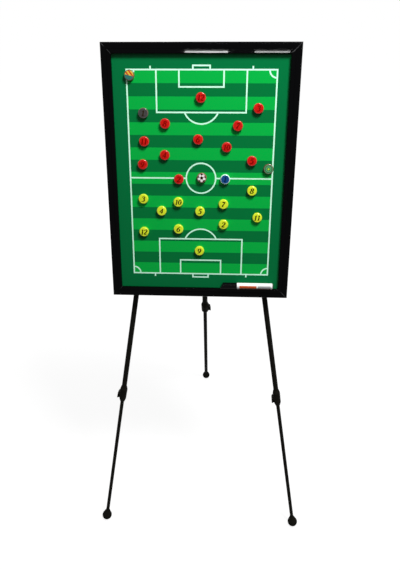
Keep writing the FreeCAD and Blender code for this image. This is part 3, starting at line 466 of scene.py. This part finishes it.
# Locks and eyes: black nylon mouldings with a fine spark-eroded grain.
# Their edges and the lever's grip are polished by use.
NYLON = (0.0085, 0.0078, 0.0062, 1)
NYLON_PALE = (0.016, 0.0150, 0.0125, 1)
NYLON_SHINE = 0.02
NYLON_ROUGH, GRAIN_ROUGH, HANDLED_SMOOTHED = 0.42, 0.2, 0.12
NYLON_GRAIN, GRAIN_DEPTH = (2200, 2.0), 0.03 * MM
HANDLED, HANDLED_SHARE = (90, 0.45, 0.7), 0.6
nylon, place = finish("nylon", {"Specular IOR Level": NYLON_SHINE})
grain = noise(place, *NYLON_GRAIN)
handled = specks(place, *HANDLED)
feed(nylon, "Base Color", mix(HANDLED_SHARE * handled, NYLON, NYLON_PALE))
feed(nylon, "Roughness", NYLON_ROUGH + GRAIN_ROUGH * grain - HANDLED_SMOOTHED * handled)
emboss(nylon, grain, GRAIN_DEPTH)
dress([f"{leg}_{piece}" for leg in LEGS for piece in ("eye", "lock_collar", "lock_lever")], nylon)

# Feet: moulded rubber balls pushed on the ends of the thin tubes, matte,
# with floor dust on the worn underside.
RUBBER = (0.0105, 0.0095, 0.0075, 1)
FLOOR_DUST = (0.030, 0.028, 0.025, 1)
RUBBER_SHINE = 0.02
RUBBER_ROUGH, MATTE_ROUGH, MATTE_PATCHES = 0.62, 0.25, 500
RUBBER_SKIN, SKIN_DEPTH = 1800, 0.04 * MM
DUST_HEIGHT, FLOOR_SPECKS = 9 * MM, (300, 0.3, 0.7)
rubber, place = finish("rubber", {"Specular IOR Level": RUBBER_SHINE})
height = along(place, Vector((0, 0, 1)), Vector())
dusted = (1 - blotch(height, 0.0, DUST_HEIGHT)) * specks(place, *FLOOR_SPECKS)
feed(rubber, "Base Color", mix(dusted, RUBBER, FLOOR_DUST))
feed(rubber, "Roughness", RUBBER_ROUGH + MATTE_ROUGH * noise(place, MATTE_PATCHES))
emboss(rubber, noise(place, RUBBER_SKIN), SKIN_DEPTH)
dress([f"{leg}_foot" for leg in LEGS], rubber)

# Player magnets: round caps moulded in glossy red and yellow plastic, each over a ferrite disc.
# The numbers 2 to 12 are printed on the domed fronts in leaning numerals, in deep red on red
# and in black on yellow.
PLAYERS = range(2, 13)
MAGNET_RADIUS = 11.75 * MM
DISC_RADIUS, DISC_FRONT = 9.05 * MM, 4.05 * MM
FERRITE = (0.020, 0.019, 0.018, 1)
RED = (0.58, 0.008, 0.004, 1)
RED_DEEP = (0.47, 0.005, 0.003, 1)
YELLOW = (0.71, 0.82, 0.028, 1)
YELLOW_DEEP = (0.63, 0.72, 0.018, 1)
CAP_SHINE, CAP_COAT_ROUGH = 0.08, 0.2
EDGE_START, EDGE_END = 9.3 * MM, 10.6 * MM
CAP_ROUGH, SKIN_ROUGH, FERRITE_ROUGH = 0.16, 0.14, 0.4
CAP_SWIRLS, CAP_SKIN = (160, 0.35, 0.75), 320
CAP_GRAIN, CAP_GRAIN_DEPTH = 500, 0.02 * MM
BLACK_INK = (0.014, 0.008, 0.001, 1)
BLACK_WORN = (0.040, 0.022, 0.002, 1)
DEEP_RED_INK = (0.19, 0.002, 0.001, 1)
DEEP_RED_WORN = (0.27, 0.003, 0.001, 1)
INK_SHINE = 0.04
INK_ROUGH, INK_CLOUD_ROUGH, INK_CLOUDS = 0.3, 0.2, 900
INK_WEAR = (500, 0.45, 0.8)
NUMBER_HEIGHT = 12.6 * MM
NUMBER_LEAN = 0.20
NUMBER_WEIGHT = 1.75
NUMERAL_STEP = 0.62
NUMERAL_STRETCH = {1: 1.2, 2: 1.05}
STROKE_STEPS = 6
# A numeral is drawn in strokes. A stroke is a smooth line through points (across, up, width),
# in shares of the numeral's height, from its middle. A stroke that ends where it starts is a ring.
RING = [(1, 0, 0.15), (0.72, 0.7, 0.10), (0, 1, 0.06), (-0.72, 0.7, 0.10),
        (-1, 0, 0.15), (-0.72, -0.7, 0.10), (0, -1, 0.06), (0.72, -0.7, 0.10), (1, 0, 0.15)]


def ring(x, y, half_x, half_y):
    return [(x + across * half_x, y + rise * half_y, width) for across, rise, width in RING]


def turned_over(strokes):
    return [[(-x, -y, width) for x, y, width in stroke] for stroke in strokes]


SIX = [ring(0, -0.18, 0.21, 0.27),
       [(0.23, 0.45, 0.05), (0.06, 0.37, 0.08), (-0.10, 0.20, 0.12), (-0.19, -0.02, 0.14),
        (-0.21, -0.18, 0.13)]]
NUMERALS = {
    "0": [ring(0, 0, 0.22, 0.45)],
    "1": [[(0.02, 0.47, 0.12), (0.02, 0.0, 0.13), (0.02, -0.45, 0.13)],
          [(-0.17, 0.28, 0.05), (-0.08, 0.36, 0.06), (0.02, 0.44, 0.09)],
          [(-0.15, -0.46, 0.05), (0.02, -0.46, 0.05), (0.19, -0.46, 0.05)]],
    "2": [[(-0.20, 0.24, 0.14), (-0.17, 0.38, 0.08), (0.0, 0.46, 0.06), (0.16, 0.40, 0.11),
           (0.21, 0.24, 0.15), (0.13, 0.03, 0.13), (-0.07, -0.21, 0.09), (-0.24, -0.41, 0.06)],
          [(-0.25, -0.42, 0.11), (-0.06, -0.41, 0.13), (0.12, -0.44, 0.11), (0.25, -0.34, 0.05)]],
    "3": [[(-0.19, 0.31, 0.12), (-0.12, 0.43, 0.07), (0.04, 0.46, 0.07), (0.17, 0.35, 0.13),
           (0.16, 0.18, 0.13), (0.05, 0.06, 0.07), (-0.07, 0.03, 0.05)],
          [(-0.02, 0.04, 0.05), (0.13, 0.0, 0.09), (0.21, -0.15, 0.15), (0.18, -0.33, 0.14),
           (0.04, -0.45, 0.08), (-0.12, -0.45, 0.06), (-0.21, -0.35, 0.13)]],
    "4": [[(0.13, 0.46, 0.08), (-0.06, 0.16, 0.07), (-0.26, -0.14, 0.07)],
          [(-0.28, -0.17, 0.09), (0.0, -0.17, 0.09), (0.27, -0.17, 0.09)],
          [(0.12, 0.47, 0.13), (0.11, 0.0, 0.13), (0.10, -0.46, 0.14)]],
    "5": [[(-0.12, 0.42, 0.10), (0.06, 0.42, 0.11), (0.24, 0.45, 0.08)],
          [(-0.12, 0.45, 0.06), (-0.15, 0.27, 0.06), (-0.18, 0.08, 0.06)],
          [(-0.18, 0.09, 0.05), (-0.02, 0.13, 0.08), (0.14, 0.05, 0.13), (0.20, -0.13, 0.15),
           (0.13, -0.34, 0.13), (-0.04, -0.45, 0.07), (-0.17, -0.43, 0.07), (-0.23, -0.33, 0.12)]],
    "6": SIX,
    "7": [[(-0.22, 0.40, 0.13), (0.02, 0.40, 0.12), (0.26, 0.43, 0.07)],
          [(0.25, 0.42, 0.07), (0.08, 0.08, 0.10), (-0.05, -0.21, 0.14), (-0.09, -0.46, 0.15)]],
    "8": [ring(0.02, 0.25, 0.16, 0.21), ring(-0.01, -0.22, 0.21, 0.24)],
    "9": turned_over(SIX),
}


def smooth(stroke, closed):
    """More points on the smooth line through the points of a stroke."""
    count = len(stroke)
    fine = []
    for index in range(count if closed else count - 1):
        near = [stroke[(index + step) % count] if closed else stroke[min(max(index + step, 0), count - 1)]
                for step in (-1, 0, 1, 2)]
        for step in range(STROKE_STEPS):
            t = step / STROKE_STEPS
            weights = (-t + 2 * t**2 - t**3, 2 - 5 * t**2 + 3 * t**3, t + 4 * t**2 - 3 * t**3, t**3 - t**2)
            fine.append([sum(weight * point[axis] for weight, point in zip(weights, near)) / 2
                         for axis in range(3)])
    return fine if closed else fine + [list(stroke[-1])]


def on_front(node):
    """Lay a print on the front of a magnet, whose middle is the print's own."""
    center = sum(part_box(node), Vector()) / 2
    mesh = nodes[node].data
    surface = BVHTree.FromPolygons([vertex.co for vertex in mesh.vertices],
                                   [polygon.vertices for polygon in mesh.polygons])

    def lay(spot, height):
        start = center + right * spot.x + up * spot.y + out * MAGNET_RADIUS
        return surface.ray_cast(start, -out)[0] + out * height

    return lay


def number(node, digits, ink, slot):
    """Print a number on a magnet."""
    print_on = Print(f"{node}_number", on_front(node))
    widened = NUMERAL_STRETCH[len(digits)]
    for index, digit in enumerate(digits):
        shift = NUMERAL_STEP * (index - (len(digits) - 1) / 2)
        for stroke in NUMERALS[digit]:
            closed = stroke[0] == stroke[-1]
            points = smooth(stroke[:-1] if closed else stroke, closed)
            spots = [Vector((x * widened + shift + y * NUMBER_LEAN, y)) * NUMBER_HEIGHT for x, y, _ in points]
            widths = [width * NUMBER_WEIGHT * NUMBER_HEIGHT for _, _, width in points]
            print_on.ribbon(spots, widths, closed)
    print_on.piece(ink, node, slot)


def cap_plastic(name, node, paint):
    """Glossy plastic of a magnet in a paint, dark where its ferrite disc shows behind."""
    material, place = finish(name, {"Specular IOR Level": CAP_SHINE, "Coat Roughness": CAP_COAT_ROUGH})
    center = sum(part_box(node), Vector()) / 2
    x = along(place, right, center)
    y = along(place, up, center)
    square = x * x + y * y
    radius = square.math("SQRT", square)
    behind = (along(place, out, board_middle) < face_front + DISC_FRONT) * (radius < DISC_RADIUS)
    feed(material, "Base Color", mix(behind, paint(place, radius, x, y), FERRITE))
    feed(material, "Roughness", CAP_ROUGH + SKIN_ROUGH * noise(place, CAP_SKIN) + FERRITE_ROUGH * behind)
    feed(material, "Coat Weight", blotch(radius, EDGE_START, EDGE_END))
    emboss(material, noise(place, CAP_GRAIN), CAP_GRAIN_DEPTH)
    return material


def swirled(color, deep):
    """A paint of one colour with swirls of a deeper one."""
    return lambda place, radius, x, y: mix(specks(place, *CAP_SWIRLS), color, deep)


def printing_ink(name, color, worn):
    """A thin ink, rubbed paler in patches."""
    material, place = finish(name, {"Specular IOR Level": INK_SHINE})
    feed(material, "Base Color", mix(specks(place, *INK_WEAR), color, worn))
    feed(material, "Roughness", INK_ROUGH + INK_CLOUD_ROUGH * noise(place, INK_CLOUDS))
    return material


black_ink = printing_ink("black_ink", BLACK_INK, BLACK_WORN)
deep_red_ink = printing_ink("deep_red_ink", DEEP_RED_INK, DEEP_RED_WORN)
TEAMS = (("red", swirled(RED, RED_DEEP), deep_red_ink), ("yellow", swirled(YELLOW, YELLOW_DEEP), black_ink))
for team, paint, ink in TEAMS:
    for player in PLAYERS:
        magnet = f"magnet_{team}_{player:02d}"
        dress([magnet], cap_plastic(f"{magnet}_plastic", magnet, paint))
        number(magnet, str(player), ink, f"magnet_{team}")

# Goalkeeper magnets: the same cap in dark grey with a brownish rim, and in blue
# with a white rim, each with the number one.
KEEPER_GREY = (0.056, 0.053, 0.052, 1)
KEEPER_GREY_DEEP = (0.042, 0.039, 0.038, 1)
GREY_RIM, GREY_RIM_START = (0.13, 0.070, 0.055, 1), 10.8 * MM
KEEPER_BLUE = (0.006, 0.070, 0.26, 1)
KEEPER_BLUE_DEEP = (0.004, 0.050, 0.18, 1)
WHITE_RIM, WHITE_RIM_START = (0.62, 0.86, 0.74, 1), 9.9 * MM
NAVY = (0.003, 0.010, 0.055, 1)
NAVY_WORN = (0.005, 0.022, 0.10, 1)


def rimmed(paint, rim, start):
    """A paint inside a rim of another colour, which starts at a radius."""
    return lambda place, radius, x, y: mix(radius > start, paint(place, radius, x, y), rim)


grey_paint = rimmed(swirled(KEEPER_GREY, KEEPER_GREY_DEEP), GREY_RIM, GREY_RIM_START)
blue_paint = rimmed(swirled(KEEPER_BLUE, KEEPER_BLUE_DEEP), WHITE_RIM, WHITE_RIM_START)
dress(["magnet_keeper_grey"], cap_plastic("keeper_grey_plastic", "magnet_keeper_grey", grey_paint))
dress(["magnet_keeper_blue"], cap_plastic("keeper_blue_plastic", "magnet_keeper_blue", blue_paint))
number("magnet_keeper_grey", "1", black_ink, "magnet_grey")
number("magnet_keeper_blue", "1", printing_ink("navy_ink", NAVY, NAVY_WORN), "magnet_blue")

# Ball magnet: a white disc in a copper-brown rim, printed with the usual football
# of black five-sided patches and seams.
BALL_WHITE = (0.86, 0.82, 0.80, 1)
BALL_SHADE = (0.70, 0.62, 0.60, 1)
COPPER = (0.20, 0.075, 0.045, 1)
BALL_EDGE = 9.5 * MM
PATCH_SIDES, PATCH_RADIUS, PATCH_TOP = 5, 4.2 * MM, 90
SEAM = 1.0 * MM
OUTER_PATCH, OUTER_HALF_TURN, OUTER_STEPS = 6.2 * MM, 23, 8
ball_paint = rimmed(swirled(BALL_WHITE, BALL_SHADE), COPPER, BALL_EDGE)
dress(["magnet_ball"], cap_plastic("ball_plastic", "magnet_ball", ball_paint))
ball = Print("magnet_ball_pattern", on_front("magnet_ball"))
middle = Vector((0, 0))
for side in range(PATCH_SIDES):
    angle = PATCH_TOP + 360 / PATCH_SIDES * side
    tip = spot_at(middle, OUTER_PATCH, angle)
    ball.ribbon([spot_at(middle, PATCH_RADIUS, angle), tip], [SEAM, SEAM])
    ball.patch(arc(middle, BALL_EDGE, angle - OUTER_HALF_TURN, angle + OUTER_HALF_TURN, OUTER_STEPS) + [tip])
ball.patch(arc(middle, PATCH_RADIUS, PATCH_TOP, PATCH_TOP + 360, PATCH_SIDES)[:-1])
ball.piece(black_ink, "magnet_ball", "magnet_ball")

# Picture magnets: two brown-rimmed discs with small generic prints of their own,
# slanted warm bands over a teal field, and rings of leaf green round a bright spot.
PICTURE_EDGE = 9.8 * MM
PICTURE_RIM = (0.12, 0.06, 0.032, 1)
TEAL = (0.035, 0.20, 0.17, 1)
TEAL_DEEP = (0.015, 0.12, 0.10, 1)
TEAL_CLOUDS = 300
FIELD_SLOPE, FIELD_TOP = 0.25, -0.5 * MM
WARM_RED = (0.50, 0.045, 0.020, 1)
WARM_YELLOW = (0.70, 0.48, 0.040, 1)
BAND, BAND_ACROSS, BAND_UP = 3.4 * MM, 0.8, 0.6
LEAF = (0.11, 0.36, 0.15, 1)
LEAF_DEEP = (0.020, 0.14, 0.060, 1)
BRIGHT_LEAF = (0.33, 0.60, 0.040, 1)
LEAF_RING = 2.21 * MM
BRIGHT_SPOT = 2.6 * MM


def slanted_bands(place, radius, x, y):
    band = (x * BAND_ACROSS + y * BAND_UP) % (2 * BAND) < BAND
    teal = mix(noise(place, TEAL_CLOUDS), TEAL, TEAL_DEEP)
    return mix(y + FIELD_SLOPE * x > FIELD_TOP, teal, mix(band, WARM_RED, WARM_YELLOW))


def leaf_rings(place, radius, x, y):
    leaf = (radius % (2 * LEAF_RING)) < LEAF_RING
    return mix(radius < BRIGHT_SPOT, mix(leaf, LEAF_DEEP, LEAF), BRIGHT_LEAF)


for node, picture in (("magnet_picture_left", slanted_bands), ("magnet_picture_right", leaf_rings)):
    dress([node], cap_plastic(f"{node}_plastic", node, rimmed(picture, PICTURE_RIM, PICTURE_EDGE)))

# Marker: a white tube with a plain orange and a plain grey band on its label, painted shade in a deep
# red-brown along the label's underside, a black plug, and a felt nib in the neck that its black cap covers.
MARKER_WHITE = (0.80, 0.82, 0.80, 1)
LABEL_ORANGE = (0.60, 0.085, 0.010, 1)
LABEL_GREY = (0.36, 0.36, 0.37, 1)
LABEL_PAINTED_SHADE = (0.10, 0.012, 0.006, 1)
LABEL_FROM, LABEL_TURN, LABEL_TO = 6 * MM, 49.5 * MM, 85.5 * MM
LABEL_TOP, LABEL_SHADE_BELOW, LABEL_GAP, LABEL_BACK = 2.6 * MM, -3.6 * MM, 4 * MM, -2 * MM
FELT = (0.012, 0.012, 0.014, 1)
NIB_ROOM = 24 * MM
PLUG = 2.05 * MM
BARREL_SHINE = 0.2
BARREL_ROUGH, BARREL_CLOUD_ROUGH, BARREL_CLOUDS = 0.2, 0.15, 200
BARREL_GRAIN, BARREL_GRAIN_DEPTH = 300, 0.01 * MM
MARKER_BLACK = (0.0012, 0.0016, 0.0016, 1)
MARKER_SCUFF = (0.0035, 0.004, 0.004, 1)
MARKER_CAP_SHINE = 0.05
MARKER_CAP_ROUGH, MARKER_CAP_SCUFF_ROUGH = 0.16, 0.2
MARKER_CAP_SCUFFS = (240, 0.5, 0.75)
MARKER_CAP_GRAIN, MARKER_CAP_GRAIN_DEPTH = 700, 0.02 * MM
barrel_low, barrel_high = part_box("marker_barrel")
cap_low, cap_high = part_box("marker_cap")
barrel_axis = (barrel_low + barrel_high) / 2
barrel_start = cap_high.x
plug_start = barrel_high.x - barrel_start - PLUG
nib_end = cap_low.x - barrel_start + NIB_ROOM

barrel, place = finish("marker_plastic", {"Specular IOR Level": BARREL_SHINE})
run = along(place, right, Vector((barrel_start, 0, 0)))
rise = along(place, up, barrel_axis)
front = along(place, out, barrel_axis)
on_label = (rise < LABEL_TOP) * (front > LABEL_BACK)
orange = on_label * (run > LABEL_FROM) * (run < LABEL_TURN)
grey = on_label * (run > LABEL_TURN + LABEL_GAP) * (run < LABEL_TO)
# Below a set rise on the barrel, the label turns dark red-brown: painted shade on the barrel's underside.
underside_shade = on_label * (rise < LABEL_SHADE_BELOW) * (run > LABEL_FROM) * (run < LABEL_TO)
barrel_color = mix(underside_shade, mix(grey, mix(orange, MARKER_WHITE, LABEL_ORANGE), LABEL_GREY), LABEL_PAINTED_SHADE)
ends = (run > plug_start) + (run < nib_end)
feed(barrel, "Base Color", mix(ends, barrel_color, FELT))
feed(barrel, "Roughness", BARREL_ROUGH + BARREL_CLOUD_ROUGH * noise(place, BARREL_CLOUDS))
emboss(barrel, noise(place, BARREL_GRAIN), BARREL_GRAIN_DEPTH)
dress(["marker_barrel"], barrel)

marker_cap, place = finish("marker_cap_plastic", {"Specular IOR Level": MARKER_CAP_SHINE})
scuffed = specks(place, *MARKER_CAP_SCUFFS)
feed(marker_cap, "Base Color", mix(scuffed, MARKER_BLACK, MARKER_SCUFF))
feed(marker_cap, "Roughness", MARKER_CAP_ROUGH + MARKER_CAP_SCUFF_ROUGH * scuffed)
emboss(marker_cap, noise(place, MARKER_CAP_GRAIN), MARKER_CAP_GRAIN_DEPTH)
dress(["marker_cap"], marker_cap)

# Floor: a plain pale studio floor. It shows as white round the stand to the eye and in the gloss
# of the frame, and it keeps the stand's shadow.
FLOOR_HALF = 60.0
FLOOR_NEAR = (0.20, 0.20, 0.20, 1)
FLOOR_FAR = (0.26, 0.26, 0.26, 1)
FLOOR_ROUGH = 0.9
GLOW_NEAR = (0.87, 0.87, 0.87, 1)
GLOW_FAR = (0.97, 0.97, 0.97, 1)
NEAR, FAR = 0.8, 3.0
FLOOR_CLOUDS, CLOUD_SHIFT = 3, 0.02
DARK = (0, 0, 0, 1)


def seen(tree):
    """1 on rays from the camera, from gloss and through glass, and 0 on those that light the object."""
    paths = tree.nodes.new("ShaderNodeLightPath").outputs
    rays = [Field(tree, paths[ray]) for ray in ("Is Camera Ray", "Is Glossy Ray", "Is Transmission Ray")]
    return rays[0].math("MAXIMUM", rays[0].math("MAXIMUM", rays[0], rays[1]), rays[2])


corners = [(-FLOOR_HALF, -FLOOR_HALF, 0), (FLOOR_HALF, -FLOOR_HALF, 0),
           (FLOOR_HALF, FLOOR_HALF, 0), (-FLOOR_HALF, FLOOR_HALF, 0)]
floor_mesh = bpy.data.meshes.new("floor")
floor_mesh.from_pydata(corners, [], [(0, 1, 2, 3)])
floor_paint, place = finish("floor_paint", {"Roughness": FLOOR_ROUGH, "Specular IOR Level": 0.0,
                                            "Emission Strength": 1.0})
away = vector_math("LENGTH", {0: place}, "Value")
far = blotch(away + CLOUD_SHIFT * noise(place, FLOOR_CLOUDS), NEAR, FAR)
feed(floor_paint, "Base Color", mix(far, FLOOR_NEAR, FLOOR_FAR))
feed(floor_paint, "Emission Color", mix(seen(floor_paint.node_tree), DARK, mix(far, GLOW_NEAR, GLOW_FAR)))
floor_mesh.materials.append(floor_paint)
floor = bpy.data.objects.new("floor", floor_mesh)
bpy.context.scene.collection.objects.link(floor)

# Light: a soft lamp above and to the right, as the magnets' shadows show, a large one behind the board,
# two ceiling tubes above and behind the camera that streak the gloss of the top rail,
# and an even weak surround.
KEY_WAY = (right * 0.72 + up * 1.65 + out).normalized()
KEY_DISTANCE, KEY_SIZE, KEY_POWER = 2.0, 0.5, 62.0
BACK_WAY = (right * -0.5 + up * 0.7 - out).normalized()
BACK_DISTANCE, BACK_SIZE, BACK_POWER = 2.6, 1.6, 36.0
TUBE_BACK, TUBE_HEIGHT, TUBE_DEEP = -1.9, 2.728, 0.009
TUBES = (("left_tube_lamp", -0.198, 0.075, 3.0), ("right_tube_lamp", 0.245, 0.465, 1.55))
SURROUND_WHITE, SURROUND = (1, 1, 1, 1), 0.12


def lamp(name, place, aim, width, deep, power):
    """A rectangular lamp at a place, turned to what it lights."""
    data = bpy.data.lights.new(name, "AREA")
    data.shape = "RECTANGLE"
    data.size = width
    data.size_y = deep
    data.energy = power
    made = bpy.data.objects.new(name, data)
    made.location = place
    made.rotation_euler = (aim - place).to_track_quat("-Z", "Y").to_euler()
    bpy.context.scene.collection.objects.link(made)


lamp("key_lamp", board_middle + KEY_WAY * KEY_DISTANCE, board_middle, KEY_SIZE, KEY_SIZE, KEY_POWER)
lamp("back_lamp", board_middle + BACK_WAY * BACK_DISTANCE, board_middle, BACK_SIZE, BACK_SIZE, BACK_POWER)
for name, start, end, power in TUBES:
    tube_middle = Vector(((start + end) / 2, TUBE_BACK, TUBE_HEIGHT))
    rail_spot = board_middle + up * half_height + right * tube_middle.x
    lamp(name, tube_middle, rail_spot, end - start, TUBE_DEEP, power)

world = bpy.data.worlds.new("surround")
bpy.context.scene.world = world
world.use_nodes = True
backdrop = world.node_tree.nodes["Background"]
backdrop.inputs["Color"].default_value = SURROUND_WHITE
strength = SURROUND + seen(world.node_tree) * (1 - SURROUND)
world.node_tree.links.new(strength.socket, backdrop.inputs["Strength"])

# Camera: held at eye height in front of the board and a little to its right, looking down at it.
# Its place is given from the floor and from the line of the front feet.
LENS, SENSOR = 31.88, 36.0
CAMERA_SIDE, CAMERA_BEFORE, CAMERA_HEIGHT = 0.0529, 0.9748, 1.4644
CAMERA_YAW, CAMERA_PITCH, CAMERA_ROLL = math.radians(-2.68), math.radians(31.32), math.radians(-0.34)
mounts = frame["record"]["mounts"]
front_feet = next(mount["pos_m"][1] for mount in mounts if mount["name"] == "foot_front_left")
ahead = Vector((math.sin(CAMERA_YAW) * math.cos(CAMERA_PITCH), math.cos(CAMERA_YAW) * math.cos(CAMERA_PITCH),
                -math.sin(CAMERA_PITCH)))
level = Vector((math.cos(CAMERA_YAW), -math.sin(CAMERA_YAW), 0))
over = level.cross(ahead)
camera_right = level * math.cos(CAMERA_ROLL) + over * math.sin(CAMERA_ROLL)
camera_up = over * math.cos(CAMERA_ROLL) - level * math.sin(CAMERA_ROLL)
camera_turn = Matrix((camera_right, camera_up, -ahead)).transposed().to_4x4()
camera_place = Matrix.Translation((CAMERA_SIDE, front_feet - CAMERA_BEFORE, CAMERA_HEIGHT))
camera_data = bpy.data.cameras.new("camera")
camera_data.lens = LENS
camera_data.sensor_width = SENSOR
camera = bpy.data.objects.new("camera", camera_data)
camera.matrix_world = camera_place @ camera_turn
bpy.context.scene.collection.objects.link(camera)
bpy.context.scene.camera = camera
bpy.context.scene.view_settings.view_transform = "Standard"
